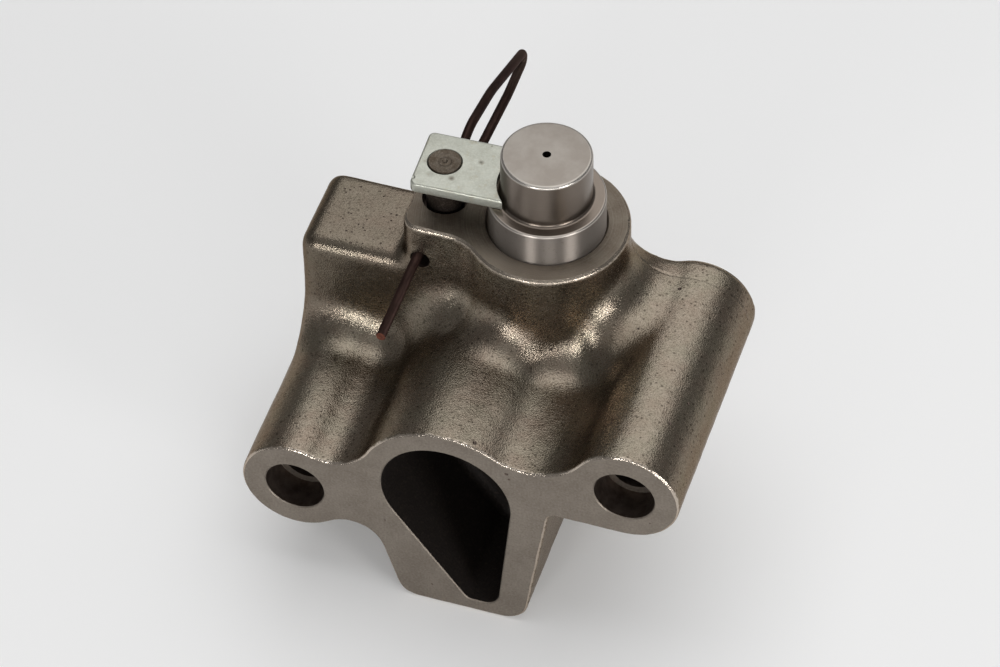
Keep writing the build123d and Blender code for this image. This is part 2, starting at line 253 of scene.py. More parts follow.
def pit(near, radius):
    """A squashed ball that stands a little proud of the casting at the point nearest to a place."""
    spot, normal = surface.find_nearest(near)[:2]
    if near.y < on_plane:
        spot = Vector((spot.x, 0, spot.z))
        normal = Vector((0, -1, 0))
    turn = Matrix.Rotation(pit_random.uniform(0, 2 * pi), 4, "Z")
    turn = turn @ Matrix.Rotation(pit_random.uniform(0, pi), 4, "X")
    wide, long = pit_random.uniform(*pit_stretch), pit_random.uniform(*pit_stretch)
    place = Matrix.Translation(spot + pit_stand * radius * normal)
    bmesh.ops.create_icosphere(pits, subdivisions=pit_fineness, radius=radius,
                               matrix=place @ turn @ Matrix.Diagonal((wide, long, 1, 1)))


for x, y, z, radius in placed_pits:
    pit(Vector((x, y, z)) * mm, radius * mm)
free_places = [vertex.co.copy() for vertex in rough.vertices
               if pit_margin < vertex.co.y < seat_y - pit_margin and vertex.co.z < top_face_z - pit_margin]
for _ in range(skin_pits):
    pit(pit_random.choice(free_places), pit_random.uniform(*skin_pit_radius))
block_top = [place for place in free_places if place.x < block_right_x and place.z > block_pits_above_z]
for _ in range(block_pits):
    pit(pit_random.choice(block_top), pit_random.uniform(*block_pit_radius))
pit_mesh = mesh_of("blow_holes", pits)
pit_object = put("blow_holes", pit_mesh)

# Broken rims
# The rims of the holes in the milled face are broken by a light touch of a scraper. Each rim is cut
# by a wide flat cone, or by one hull round the reservoir's three corners.

rim_break = 0.16 * mm
rim_lead = 0.10 * mm
rim_steps = 48
reservoir_corners = ((reservoir_top, reservoir_radius), (sump, sump_radius), (sump_toe, sump_toe_radius))

rims = bmesh.new()
for discs in (reservoir_corners, ((left_hole, dowel_radius),), ((right_hole, dowel_radius),)):
    ring = []
    for middle, radius in discs:
        for depth, widening in ((-rim_lead, rim_break + rim_lead), (rim_break, 0.0)):
            lie = Matrix.Translation((middle.x, depth, middle.z)) @ Matrix.Rotation(pi / 2, 4, "X")
            circle = bmesh.ops.create_circle(rims, segments=rim_steps, radius=radius + widening, matrix=lie)
            ring += circle["verts"]
    hull = bmesh.ops.convex_hull(rims, input=ring)
    bmesh.ops.delete(rims, geom=[vertex for vertex in hull["geom_interior"] if vertex.is_valid],
                     context="VERTS")
bmesh.ops.recalc_face_normals(rims, faces=rims.faces)
rim_mesh = mesh_of("broken_rims", rims)
rim_object = put("broken_rims", rim_mesh)

# Machined housing
# The casting is milled on its mounting face, top and back seats, and bored for the plunger, pin, wire
# and dowels. The cut faces are smooth, and the rest keeps its cast skin.

skin_slot, milled_slot, bored_slot, core_slot, turned_slot = range(5)
pin_bore_reach = 3.4 * mm
bore_reach = bore_radius + 0.35 * mm
round_fit = 0.02 * mm
core_gap = 0.5 * plug_overlap
faces_up = 0.3
faces_front = 0.9
sharp_iron = radians(38)
bubble_size = 1000


def aside(middle, axis):
    """Distance of a point from an upright axis."""
    return Vector((middle.x - axis.x, middle.y - axis.y)).length


def off_level(middle, axis):
    """Distance of a point from a level axis that runs along Y."""
    return Vector((middle.x - axis.x, middle.z - axis.z)).length


def finish_of(middle, normal):
    """The slot of a face: how that part of the housing was made."""
    if abs(middle.z - top_face_z) < on_plane:
        return turned_slot
    if abs(middle.y) < on_plane or abs(middle.y - seat_y) < on_plane:
        return milled_slot
    if aside(middle, plunger_axis) < bore_reach and middle.z > bore_floor_z - plug_overlap:
        return milled_slot if normal.z > faces_up else bored_slot
    if aside(middle, pin_axis) < pin_bore_reach and middle.z > pin_floor_z:
        return bored_slot
    if off_level(middle, cross_hole) < cross_hole_radius + round_fit:
        return bored_slot
    if min(off_level(middle, left_hole), off_level(middle, right_hole)) < dowel_radius + round_fit:
        return milled_slot if normal.y < -faces_front else bored_slot
    if surface.find_nearest(middle)[3] > core_gap:
        return core_slot
    return skin_slot


def cut_with(target, operation, tool):
    """Adds a cut or a trim by another object to an object."""
    cutting = target.modifiers.new(tool.name, "BOOLEAN")
    cutting.operation = operation
    cutting.solver = "MANIFOLD"
    cutting.object = tool


cut = bmesh.new()
cut.from_mesh(frame["nodes"]["housing"].data)
bmesh.ops.remove_doubles(cut, verts=cut.verts, dist=on_plane)
cut.normal_update()
for face in cut.faces:
    face.material_index = finish_of(face.calc_center_median(), face.normal)
machined = mesh_of("housing_iron", cut)
machined.attributes.remove(machined.attributes["custom_normal"])
housing = put("housing_iron", machined)
finishes = [bpy.data.materials.new(name) for name in
            ("cast_iron_skin", "milled_iron", "bored_iron", "cored_iron", "turned_iron")]
for mesh in (machined, rough, pit_mesh, rim_mesh):
    for material in finishes:
        mesh.materials.append(material)
for mesh, slot in ((pit_mesh, bored_slot), (rim_mesh, milled_slot)):
    for face in mesh.polygons:
        face.material_index = slot
cut_with(housing, "INTERSECT", rough_object)
cut_with(housing, "DIFFERENCE", pit_object)
cut_with(housing, "DIFFERENCE", rim_object)
finished = with_modifiers(housing)
housing.modifiers.clear()
housing.data = finished
finished.shade_smooth()
finished.set_sharp_from_angle(angle=sharp_iron)
shaped = bmesh.new()
shaped.from_mesh(finished)
for edge in shaped.edges:
    if len({face.material_index for face in edge.link_faces}) > 1:
        edge.smooth = False
# A blow hole that doesn't break through the skin would be a hidden bubble, so it is left out
unvisited = set(shaped.verts)
while unvisited:
    border = {unvisited.pop()}
    island = set()
    while border:
        island |= border
        border = {edge.other_vert(vertex) for vertex in border for edge in vertex.link_edges} - island
    unvisited -= island
    if len(island) < bubble_size:
        bmesh.ops.delete(shaped, geom=list(island), context="VERTS")
shaped.to_mesh(finished)
shaped.free()
for tool in (rough_object, pit_object, rim_object):
    bpy.data.objects.remove(tool)
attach(housing, "body")
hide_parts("housing")


def feed(made, entries):
    """Gives inputs of a node their values, or links them to the outputs of other nodes."""
    for entry, value in entries.items():
        if isinstance(value, bpy.types.NodeSocket):
            made.id_data.links.new(value, made.inputs[entry])
        else:
            made.inputs[entry].default_value = value


def node(kind, entries, **settings):
    """A shader node; each entry is a value, or the output of another node, for one of its inputs."""
    fed = next(value for value in entries.values() if isinstance(value, bpy.types.NodeSocket))
    made = fed.id_data.nodes.new("ShaderNode" + kind)
    for name, value in settings.items():
        setattr(made, name, value)
    feed(made, entries)
    return made.outputs


def math(operation, first, second, third=0.0):
    """The result of a Math node."""
    return node("Math", {0: first, 1: second, 2: third}, operation=operation)[0]


def spread(value, low, high, least=0.0, most=1.0):
    """Stretches a value from low...high to least...most."""
    return node("MapRange", {"Value": value, "From Min": low, "From Max": high,
                             "To Min": least, "To Max": most})[0]


def paint(amount, first, second):
    """A colour between two others, which a Mix node takes at its entries 6 and 7."""
    entries = {0: amount}
    for entry, colour in ((6, first), (7, second)):
        entries[entry] = (*colour, 1.0) if isinstance(colour, tuple) else colour
    return node("Mix", entries, data_type="RGBA")[2]


def over(base, mask, colour, share):
    """A base with a colour laid over it where a mask says, and only to a share."""
    return paint(math("MULTIPLY", mask, share), base, colour)


def noise_of(where, detail, roughness, scale=1.0):
    """Plain noise; its specks are about one unit across at a scale of 1."""
    return node("TexNoise", {"Vector": where, "Scale": scale, "Detail": detail, "Roughness": roughness})[0]


def specks(where, size, detail=3.0, roughness=0.6, stretch=(1, 1, 1)):
    """Noise whose specks are about one size across, in metres."""
    shrunk = node("Mapping", {"Vector": where, "Scale": tuple(way / size for way in stretch)})[0]
    return noise_of(shrunk, detail, roughness)


def counted(where, size):
    """A place counted in lengths of a size that comes in by a socket."""
    count = math("DIVIDE", 1.0, size)
    return node("VectorMath", {0: where, "Scale": count}, operation="SCALE")[0]


def far_from(where, spot, ways=(1, 1, 1)):
    """Distance from a spot; a way of 0 leaves that direction out, as for an upright axis."""
    shift = tuple(-place * way for place, way in zip(spot, ways))
    centred = node("Mapping", {"Vector": where, "Location": shift, "Scale": ways})[0]
    return node("VectorMath", {0: centred}, operation="LENGTH")["Value"]


def start_group(name, entries, results):
    """A shader group with named inputs and outputs, nothing linked yet."""
    group = bpy.data.node_groups.new(name, "ShaderNodeTree")
    for label, value in entries:
        kind = "NodeSocketVector" if value is None else "NodeSocketFloat"
        made = group.interface.new_socket(label, in_out="INPUT", socket_type=kind)
        if value is not None:
            made.default_value = value
    for label in results:
        group.interface.new_socket(label, in_out="OUTPUT", socket_type="NodeSocketFloat")
    return group, group.nodes.new("NodeGroupInput").outputs, group.nodes.new("NodeGroupOutput")


def start_material(material):
    """The Principled shader of a material with nothing linked yet, and the object's own coordinates."""
    material.use_nodes = True
    tree = material.node_tree
    tree.nodes.clear()
    shader = tree.nodes.new("ShaderNodeBsdfPrincipled")
    output = tree.nodes.new("ShaderNodeOutputMaterial")
    feed(output, {"Surface": shader.outputs["BSDF"]})
    return shader, tree.nodes.new("ShaderNodeTexCoord").outputs["Object"]


def dress(shader, colour, metallic, roughness, height, depth):
    """Gives the shader a colour, its metal and roughness, and a bump of some depth."""
    bump = node("Bump", {"Height": height, "Distance": depth, "Strength": 1.0})[0]
    feed(shader, {"Base Color": colour, "Metallic": metallic, "Roughness": roughness, "Normal": bump})


# Grain of blasted iron: bright and dark grains a fraction of a millimetre across
lump_scale = 0.3
pebble_scale = 1.1
lump_share, fine_share, pebble_share, grain_lift = 0.35, 0.6, -0.5, 0.55
cast_grain, given, wanted = start_group("cast_grain", (("Vector", None), ("Size", 0.3 * mm)),
                                        ("Light", "Dark", "Height"))
scaled = counted(given["Vector"], given["Size"])
fine = noise_of(scaled, detail=3.0, roughness=0.65)
lumps = noise_of(scaled, detail=3.0, roughness=0.6, scale=lump_scale)
pebbles = node("TexVoronoi", {"Vector": scaled, "Scale": pebble_scale})["Distance"]
height = math("MULTIPLY_ADD", lumps, lump_share, math("MULTIPLY", fine, fine_share))
height = math("MULTIPLY_ADD", pebbles, pebble_share, math("ADD", height, grain_lift))
feed(wanted, {"Light": spread(fine, low=0.52, high=0.72), "Dark": spread(fine, low=0.47, high=0.30),
              "Height": height})

# Scattered spots: small round marks, some places bare
spots, given, wanted = start_group("scattered_spots", (("Vector", None), ("Spacing", 1.5 * mm),
                                                       ("Radius", 0.2 * mm), ("Share", 0.5)), ("Mask",))
cells = node("TexVoronoi", {"Vector": counted(given["Vector"], given["Spacing"]), "Scale": 1.0})
lot = node("SeparateColor", {"Color": cells["Color"]})[0]
inside = math("DIVIDE", cells["Distance"], math("DIVIDE", given["Radius"], given["Spacing"]))
chosen = math("LESS_THAN", lot, given["Share"])
feed(wanted, {"Mask": math("MULTIPLY", spread(inside, low=1.0, high=0.6), chosen)})

# Stains: clouds with soft borders, from oil and handling
stains, given, wanted = start_group("stains", (("Vector", None), ("Size", 3 * mm), ("Edge", 0.5)), ("Mask",))
cloud = noise_of(counted(given["Vector"], given["Size"]), detail=5.0, roughness=0.6)
away = math("SUBTRACT", cloud, given["Edge"])
feed(wanted, {"Mask": spread(away, low=-0.12, high=0.12)})

# Tool marks: fine uneven lines, a pitch apart, along a distance from an axis or a plane
tool_marks, given, wanted = start_group("tool_marks", (("Along", 0.0), ("Pitch", 0.1 * mm)),
                                        ("Tone", "Height"))
along = math("DIVIDE", given["Along"], given["Pitch"])
lines = node("TexNoise", {"W": along, "Scale": 1.0, "Detail": 3.0, "Roughness": 0.7},
             noise_dimensions="1D")[0]
feed(wanted, {"Tone": spread(lines, low=0.3, high=0.7), "Height": lines})

# Worn rim and painted highlight: where hands and bins have rubbed an edge bright, and where a rounded edge
# is painted pale for the highlight it catches, within a width of a plane
rag_size = 0.7 * mm
worn_rim_and_highlight, given, wanted = start_group("worn_rim_and_highlight", (("Vector", None), ("Distance", 0.0), ("Width", 0.3 * mm)),
                                      ("Mask",))
ragged = specks(given["Vector"], rag_size, detail=4.0)
ragged = spread(ragged, low=0.35, high=0.65, least=0.4, most=1.5)
share = math("DIVIDE", given["Distance"], math("MULTIPLY", given["Width"], ragged))
feed(wanted, {"Mask": spread(share, low=1.2, high=0.7)})


def grains(where, size):
    """The Light, Dark and Height of the grain group."""
    return node("Group", {"Vector": where, "Size": size}, node_tree=cast_grain)


def clouds(where, size, edge=0.5):
    """Mask of the stains group; a higher edge leaves fewer stains."""
    return node("Group", {"Vector": where, "Size": size, "Edge": edge}, node_tree=stains)[0]


def marks_along(along, pitch):
    """The Tone and Height of the tool mark group."""
    return node("Group", {"Along": along, "Pitch": pitch}, node_tree=tool_marks)


def ways_of(where):
    """The X, Y and Z of a place."""
    return node("SeparateXYZ", {"Vector": where})


# Cast skin: blasted grey-brown iron, olive in places, with bright grains and dark pores
skin_brown, skin_olive, skin_patch = (0.216, 0.173, 0.135), (0.218, 0.192, 0.147), (0.260, 0.222, 0.178)
skin_glint, skin_shade = (0.42, 0.355, 0.285), (0.060, 0.044, 0.032)
skin_pore, skin_rubbed_and_highlight, skin_tint = (0.030, 0.023, 0.017), (0.62, 0.54, 0.46), (0.60, 0.52, 0.45, 1)
# Colours of painted shade, on the block and in the hollow beside the tower
skin_block_painted_shade, skin_hollow_painted_shade = (0.085, 0.068, 0.052), (0.095, 0.072, 0.052)
shaded_hollow_spot = (41.5 * mm, 22.0 * mm, 20.5 * mm)
hollow_raggedness = 1.2 * mm
top_rim_share = 0.45
rim_polish = -0.10
shader, where = start_material(finishes[skin_slot])
grain = grains(where, size=0.23 * mm)
cloud = clouds(where, size=5.5 * mm)
pores = node("Group", {"Vector": where, "Spacing": 0.9 * mm, "Radius": 0.22 * mm, "Share": 1.0},
             node_tree=spots)[0]
base = paint(cloud, skin_brown, skin_olive)
base = over(base, clouds(where, size=1.4 * mm, edge=0.53), skin_patch, share=0.5)
base = over(base, grain["Light"], skin_glint, share=0.40)
base = over(base, grain["Dark"], skin_shade, share=0.65)
base = over(base, pores, skin_pore, share=0.62)
parts = ways_of(where)
# Painted shade: the skin high up and to the left, over the block, is painted darker
high_up = spread(parts["Z"], low=9 * mm, high=13 * mm)
painted_block_shade = math("MULTIPLY", high_up, spread(parts["X"], low=12 * mm, high=8 * mm))
base = over(base, painted_block_shade, skin_block_painted_shade, share=0.50)
# Painted shade: the hollow beside the tower is painted darker, in a ragged patch round one spot
off_shaded_hollow = math("MULTIPLY_ADD", cloud, hollow_raggedness, far_from(where, shaded_hollow_spot))
base = over(base, spread(off_shaded_hollow, low=6.0 * mm, high=2.0 * mm), skin_hollow_painted_shade, share=0.5)
front_rim = node("Group", {"Vector": where, "Distance": parts["Y"], "Width": 0.28 * mm},
                 node_tree=worn_rim_and_highlight)[0]
top_rim = node("Group", {"Vector": where, "Distance": math("SUBTRACT", top_face_z, parts["Z"]),
                         "Width": 0.7 * mm}, node_tree=worn_rim_and_highlight)[0]
rim = math("MAXIMUM", front_rim, math("MULTIPLY", top_rim, top_rim_share))
# The rims of the mounting face and the top are painted pale: partly rubbed wear, partly painted highlight
base = over(base, rim, skin_rubbed_and_highlight, share=0.7)
matt = spread(grain["Height"], low=0.4, high=0.9, least=0.36, most=0.20)
matt = math("MULTIPLY_ADD", rim, rim_polish, matt)
dress(shader, base, metallic=0.96, roughness=matt, height=grain["Height"], depth=0.048 * mm)
feed(shader, {"Specular Tint": skin_tint})

# Milled iron: warm grey and even, with the faintest cutter lines
milled_warm, milled_pale = (0.190, 0.161, 0.132), (0.226, 0.195, 0.162)
milled_light, milled_dark, milled_line = (0.33, 0.29, 0.245), (0.115, 0.092, 0.070), (0.12, 0.10, 0.085)
fleck_height = 0.6
shader, where = start_material(finishes[milled_slot])
marks = marks_along(ways_of(where)["X"], pitch=0.30 * mm)
fleck = specks(where, size=0.35 * mm)
base = paint(clouds(where, size=4.0 * mm), milled_warm, milled_pale)
base = over(base, spread(fleck, low=0.50, high=0.75), milled_light, share=0.40)
base = over(base, spread(fleck, low=0.48, high=0.28), milled_dark, share=0.45)
base = over(base, marks["Tone"], milled_line, share=0.10)
height = math("MULTIPLY_ADD", fleck, fleck_height, marks["Height"])
dress(shader, base, metallic=0.85, roughness=0.46, height=height, depth=0.012 * mm)

# Bored iron: the walls of the drilled holes, darker than the milled faces, with feed rings
bored_dark, bored_pale = (0.060, 0.042, 0.034), (0.110, 0.085, 0.070)
shader, where = start_material(finishes[bored_slot])
marks = marks_along(ways_of(where)["Y"], pitch=0.25 * mm)
base = paint(clouds(where, size=1.6 * mm), bored_dark, bored_pale)
dress(shader, base, metallic=0.8, roughness=0.42, height=marks["Height"], depth=0.02 * mm)

# Cored iron: the reservoir's walls as the sand core left them, painted near black for the shade deep inside
# it
core_painted_shade_dark, core_painted_shade_pale = (0.014, 0.010, 0.008), (0.034, 0.025, 0.019)
shader, where = start_material(finishes[core_slot])
grain = grains(where, size=0.45 * mm)
base = paint(grain["Light"], core_painted_shade_dark, core_painted_shade_pale)
dress(shader, base, metallic=0.5, roughness=0.62, height=grain["Height"], depth=0.08 * mm)

# Turned iron: the top round the bore, faced off in rings about the plunger, brown with oil
turned_dark, turned_pale, turned_ring = (0.120, 0.094, 0.071), (0.164, 0.138, 0.108), (0.235, 0.205, 0.165)
turned_fleck, turned_front_painted_reflection, turned_lip_highlight = (0.28, 0.245, 0.205), (0.31, 0.265, 0.215), (0.50, 0.44, 0.38)
front_start_y, front_full_y = plunger_axis.y - 6.0 * mm, plunger_axis.y - 9.5 * mm
lip_start, lip_full = bore_radius + 0.30 * mm, bore_radius + 0.15 * mm
ring_height = 1.2
shader, where = start_material(finishes[turned_slot])
from_axis = far_from(where, upright(plunger_axis, top_face_z))
marks = marks_along(from_axis, pitch=0.22 * mm)
fleck = specks(where, size=0.30 * mm)
base = paint(clouds(where, size=3.5 * mm), turned_dark, turned_pale)
base = over(base, spread(marks["Tone"], low=0.3, high=1.0), turned_ring, share=0.45)
base = over(base, spread(fleck, low=0.5, high=0.75), turned_fleck, share=0.3)
# Painted reflection: the top face in front of the bore is painted paler
painted_reflection_in_front = spread(ways_of(where)["Y"], low=front_start_y, high=front_full_y)
base = over(base, painted_reflection_in_front, turned_front_painted_reflection, share=0.65)
# Painted highlight: a pale ring round the lip of the bore
base = over(base, spread(from_axis, low=lip_start, high=lip_full), turned_lip_highlight, share=0.7)
height = math("MULTIPLY_ADD", marks["Height"], ring_height, fleck)
dress(shader, base, metallic=0.88, roughness=0.50, height=height, depth=0.020 * mm)

# Plunger
# Hardened steel, turned hollow and ground outside. A smaller nose with a rounded edge stands on the
# skirt's shoulder, and a small hole in it lets oil and air out.

skirt_radius = (plunger_high.x - plunger_low.x) / 2
skirt_inner_radius = skirt_radius - 2.1 * mm
nose_radius = 6.5 * mm
nose_inner_radius = 4.1 * mm
nose_edge_radius = 0.5 * mm
nose_foot_radius = 0.5 * mm
nose_top_z = plunger_high.z
shoulder_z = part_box("retainer_plate")[0].z
shoulder_edge_radius = 0.36 * mm
crown = 2.2 * mm
lead_chamfer = 0.5 * mm
vent_radius = 0.62 * mm
turned_steps = 144
turned_corner_steps = 6
least_turn = 0.001
sharp_steel = radians(30)


def rounded(corners, steps):
    """The points of a line through (corner, radius) pairs, each corner turned to its radius."""
    line = [corners[0][0]]
    for (before, _), (corner, radius), (after, _) in zip(corners, corners[1:], corners[2:]):
        towards, onwards = (before - corner).normalized(), (after - corner).normalized()
        half = towards.angle(onwards) / 2
        if radius == 0 or half < least_turn or half > pi / 2 - least_turn:
            line.append(corner)
            continue
        centre = corner + (towards + onwards).normalized() * (radius / sin(half))
        start = corner + towards * (radius / tan(half)) - centre
        axis = start.cross(onwards * (radius / tan(half)) + corner - centre).normalized()
        for step in range(steps + 1):
            turn = Matrix.Rotation((pi - 2 * half) * step / steps, 3, axis)
            line.append(centre + turn @ start)
    line.append(corners[-1][0])
    return line


def smoothed(mesh, sharp):
    """Shades a mesh smooth, except over edges sharper than an angle."""
    mesh.shade_smooth()
    mesh.set_sharp_from_angle(angle=sharp)


def turned(name, axis, outline):
    """A mesh turned on an upright axis from a closed outline of (radius, height, corner radius)."""
    corners = [(Vector((axis.x + radius, axis.y, z)), corner) for radius, z, corner in outline + outline[:1]]
    line = rounded(corners, turned_corner_steps)[:-1]
    lathe = bmesh.new()
    points = [lathe.verts.new(point) for point in line]
    edges = [lathe.edges.new(pair) for pair in zip(points, points[1:] + points[:1])]
    bmesh.ops.spin(lathe, geom=points + edges, cent=axis, axis=(0, 0, 1), angle=2 * pi,
                   steps=turned_steps, use_merge=True)
    bmesh.ops.remove_doubles(lathe, verts=lathe.verts, dist=on_plane)
    bmesh.ops.recalc_face_normals(lathe, faces=lathe.faces)
    mesh = mesh_of(name, lathe)
    smoothed(mesh, sharp_steel)
    return mesh


def coat(mesh, material):
    """Gives a mesh one material in place of those it had."""
    mesh.materials.clear()
    mesh.materials.append(material)


def show(name, mesh, material, body, replaced):
    """Puts a mesh into the scene in place of a CAD node."""
    coat(mesh, material)
    made = put(name, mesh)
    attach(made, body)
    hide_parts(replaced)
    return made


# Ground steel: paler on the nose's end, painted darker brown on its flank for shade, with a painted
# highlight round both edges
steel_warm, steel_pale, steel_flank_painted_shade = (0.222, 0.198, 0.174), (0.268, 0.245, 0.219), (0.168, 0.136, 0.111)
nose_painted_highlight, skirt_painted_highlight, steel_line = (0.66, 0.62, 0.57), (0.60, 0.55, 0.50), (0.24, 0.21, 0.18)
flank_start_z, flank_full_z = nose_top_z - 0.25 * mm, nose_top_z - 0.55 * mm
nose_bright_from, nose_bright_full = nose_radius - 0.50 * mm, nose_radius - 0.15 * mm
skirt_bright_from, skirt_bright_full = skirt_radius - 0.35 * mm, skirt_radius - 0.15 * mm
steel_material = bpy.data.materials.new("ground_steel")
shader, where = start_material(steel_material)
from_axis = far_from(where, plunger_axis, ways=(1, 1, 0))
place_z = ways_of(where)["Z"]
marks = marks_along(math("ADD", from_axis, place_z), pitch=0.12 * mm)
flank = spread(place_z, low=flank_start_z, high=flank_full_z)
base = paint(clouds(where, size=4.0 * mm), steel_warm, steel_pale)
# Painted shade on the nose's flank
base = over(base, flank, steel_flank_painted_shade, share=0.8)
nose_edge = spread(from_axis, low=nose_bright_from, high=nose_bright_full)
nose_edge = math("MULTIPLY", nose_edge, math("SUBTRACT", 1.0, flank))
# Painted highlights on the nose's edge and the skirt's shoulder
base = over(base, nose_edge, nose_painted_highlight, share=0.85)
skirt_edge = spread(from_axis, low=skirt_bright_from, high=skirt_bright_full)
base = over(base, skirt_edge, skirt_painted_highlight, share=0.7)
base = over(base, spread(marks["Tone"], low=0.4, high=1.0), steel_line, share=0.3)
dress(shader, base, metallic=1.0, roughness=0.30, height=marks["Height"], depth=0.003 * mm)

# Ground skirt: fine rings that draw highlights out into upright bands
skirt_pale, skirt_dark, skirt_scuff = (0.30, 0.265, 0.235), (0.23, 0.20, 0.17), (0.20, 0.16, 0.13)
skirt_material = bpy.data.materials.new("ground_skirt")
shader, where = start_material(skirt_material)
marks = marks_along(ways_of(where)["Z"], pitch=0.10 * mm)
scuff = specks(where, size=0.5 * mm, detail=4.0)
base = over(skirt_pale, spread(marks["Tone"], low=0.3, high=1.0), skirt_dark, share=0.4)
base = over(base, spread(scuff, low=0.60, high=0.75), skirt_scuff, share=0.6)
dress(shader, base, metallic=1.0, roughness=0.52, height=marks["Height"], depth=0.003 * mm)
feed(shader, {"Anisotropic": 1.0, "Anisotropic Rotation": 0.25})

skirt_slot = 1
plunger_outline = [
    (skirt_radius - lead_chamfer, plunger_low.z, 0), (skirt_radius, plunger_low.z + lead_chamfer, 0),
    (skirt_radius, shoulder_z, shoulder_edge_radius),
    (nose_radius, shoulder_z, nose_foot_radius), (nose_radius, nose_top_z, nose_edge_radius),
    (vent_radius, nose_top_z, 0), (vent_radius, nose_top_z - crown, 0),
    (nose_inner_radius, nose_top_z - crown, 0), (nose_inner_radius, shoulder_z - crown, 0),
    (skirt_inner_radius, shoulder_z - crown, 0), (skirt_inner_radius, plunger_low.z, 0)]
plunger = turned("plunger_steel", plunger_axis, plunger_outline)
show("plunger_steel", plunger, steel_material, "plunger", "plunger")
plunger.materials.append(skirt_material)
for face in plunger.polygons:
    if face.center.z < shoulder_z - shoulder_edge_radius and aside(face.center, plunger_axis) > nose_radius:
        face.material_index = skirt_slot

# Vent disc, valve seat and check ball
# Small ground steel pieces inside the bore: the disc under the nose, the seat pressed into the bore's
# floor and the ball on it. Hardly seen, they are shown as the CAD has them.

for name in ("vent_disc", "valve_seat", "check_ball"):
    coat(frame["nodes"][name].data, steel_material)

# Springs
# Two coil springs of oiled spring wire, dark blue-grey: the large one pushes the plunger out, the
# small one holds the ball on its seat.

spring_blue = (0.16, 0.16, 0.17, 1)
sharp_coil = radians(50)
springs = (("plunger_spring", "plunger_slide", 4.0 * mm, 0), ("ball_spring", "ball_lift", 0.9 * mm, 1))
spring_material = bpy.data.materials.new("spring_wire")
shader, where = start_material(spring_material)
fleck = specks(where, size=0.3 * mm, detail=2.0, roughness=0.5)
dress(shader, spring_blue, metallic=1.0, roughness=0.35, height=fleck, depth=0.004 * mm)
for name, joint, travel, held_end in springs:
    coils = bmesh.new()
    coils.from_mesh(frame["nodes"][name].data)
    bmesh.ops.transform(coils, matrix=frame["nodes"][name].matrix_world, verts=coils.verts)
    bmesh.ops.remove_doubles(coils, verts=coils.verts, dist=on_plane)
    coil_mesh = mesh_of(name + "_coils", coils)
    smoothed(coil_mesh, sharp_coil)
    spring = show(name + "_coils", coil_mesh, spring_material, "body", name)
    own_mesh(spring)

# Lock plate and ball cage
# Stamped from steel strip and zinc plated, dull and pale green-grey. One end of the plate is hollowed
# to sit round the plunger's nose; the other has rolled-over corners and a hole for the pin.

plate_low, plate_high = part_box("retainer_plate")
plate_width = 10.6 * mm
plate_beyond_pin = 3.7 * mm
plate_reach = 10.1 * mm
plate_corner_radius = 0.9 * mm
plate_corner_steps = 8
plate_edge_radius = 0.35 * mm
plate_edge_steps = 5
plate_turn = radians(1.8)
plate_hole_radius = 2.42 * mm
plate_hole_rim = 0.14 * mm
hollow_radius = nose_radius + 0.55 * mm
tool_sides = 96
level_face = 0.9
dent_fineness = 3
dent_stand = 0.7
tool_room = 1 * mm
# Dents hold x, y and radius in mm; smudges hold a darkness too
plate_dents = ((9.35, 27.65, 0.55), (8.9, 28.6, 0.4), (17.6, 33.2, 0.22), (14.6, 29.0, 0.2))
plate_smudges = ((17.6, 33.2, 0.55, 0.7), (14.6, 29.0, 0.6, 0.8), (11.6, 28.9, 0.8, 0.35),
                 (10.3, 31.2, 0.9, 0.35))


def cut_away(mesh, tools):
    """The mesh less each of the tools, which are then thrown away."""
    work = put("work", mesh)
    for tool in tools:
        cut_with(work, "DIFFERENCE", tool)
    made = with_modifiers(work)
    for tool in [work] + tools:
        bpy.data.objects.remove(tool)
    return made


def bevelled(work, edges, radius, steps):
    """Rounds some edges of a piece of work."""
    bmesh.ops.bevel(work, geom=edges, offset=radius, offset_type="OFFSET", segments=steps, profile=0.5,
                    affect="EDGES", material=-1)


def upright_tool(name, axis, radius):
    """A round bar through the plate, for cutting."""
    bar = bmesh.new()
    low, high = plate_low.z - tool_room, plate_high.z + tool_room
    bmesh.ops.create_cone(bar, cap_ends=True, segments=tool_sides, radius1=radius, radius2=radius,
                          depth=high - low, matrix=Matrix.Translation(upright(axis, (low + high) / 2)))
    return put(name, mesh_of(name, bar))


blank = bmesh.new()
left_x, right_x = -plate_beyond_pin, plate_reach
block = Matrix.Diagonal((right_x - left_x, plate_width, plate_high.z - plate_low.z, 1))
centre = Matrix.Translation(((left_x + right_x) / 2, 0, (plate_low.z + plate_high.z) / 2))
bmesh.ops.create_cube(blank, size=1.0, matrix=centre @ block)
bevelled(blank, [edge for edge in blank.edges if abs(edge.verts[0].co.z - edge.verts[1].co.z) > on_plane
                 and edge.verts[0].co.x < 0], plate_corner_radius, plate_corner_steps)
bevelled(blank, [edge for edge in blank.edges
                 if abs(edge.verts[0].co.z - edge.verts[1].co.z) < on_plane and len(edge.link_faces) == 2
                 and abs(edge.link_faces[0].normal.z) + abs(edge.link_faces[1].normal.z) > level_face
                 and min(edge.verts[0].co.x, edge.verts[1].co.x) < right_x - on_plane],
         plate_edge_radius, plate_edge_steps)
shift = Matrix.Translation(upright(pin_axis, 0)) @ Matrix.Rotation(plate_turn, 4, "Z")
bmesh.ops.transform(blank, matrix=shift, verts=blank.verts)
rim_tool = bmesh.new()
bmesh.ops.create_cone(rim_tool, cap_ends=True, segments=tool_sides, radius1=plate_hole_radius,
                      radius2=plate_hole_radius + 2 * plate_hole_rim, depth=2 * plate_hole_rim,
                      matrix=Matrix.Translation(upright(pin_axis, plate_high.z)))
for x, y, radius in plate_dents:
    place = Vector((x * mm, y * mm, plate_high.z + dent_stand * radius * mm))
    bmesh.ops.create_icosphere(rim_tool, subdivisions=dent_fineness, radius=radius * mm,
                               matrix=Matrix.Translation(place))
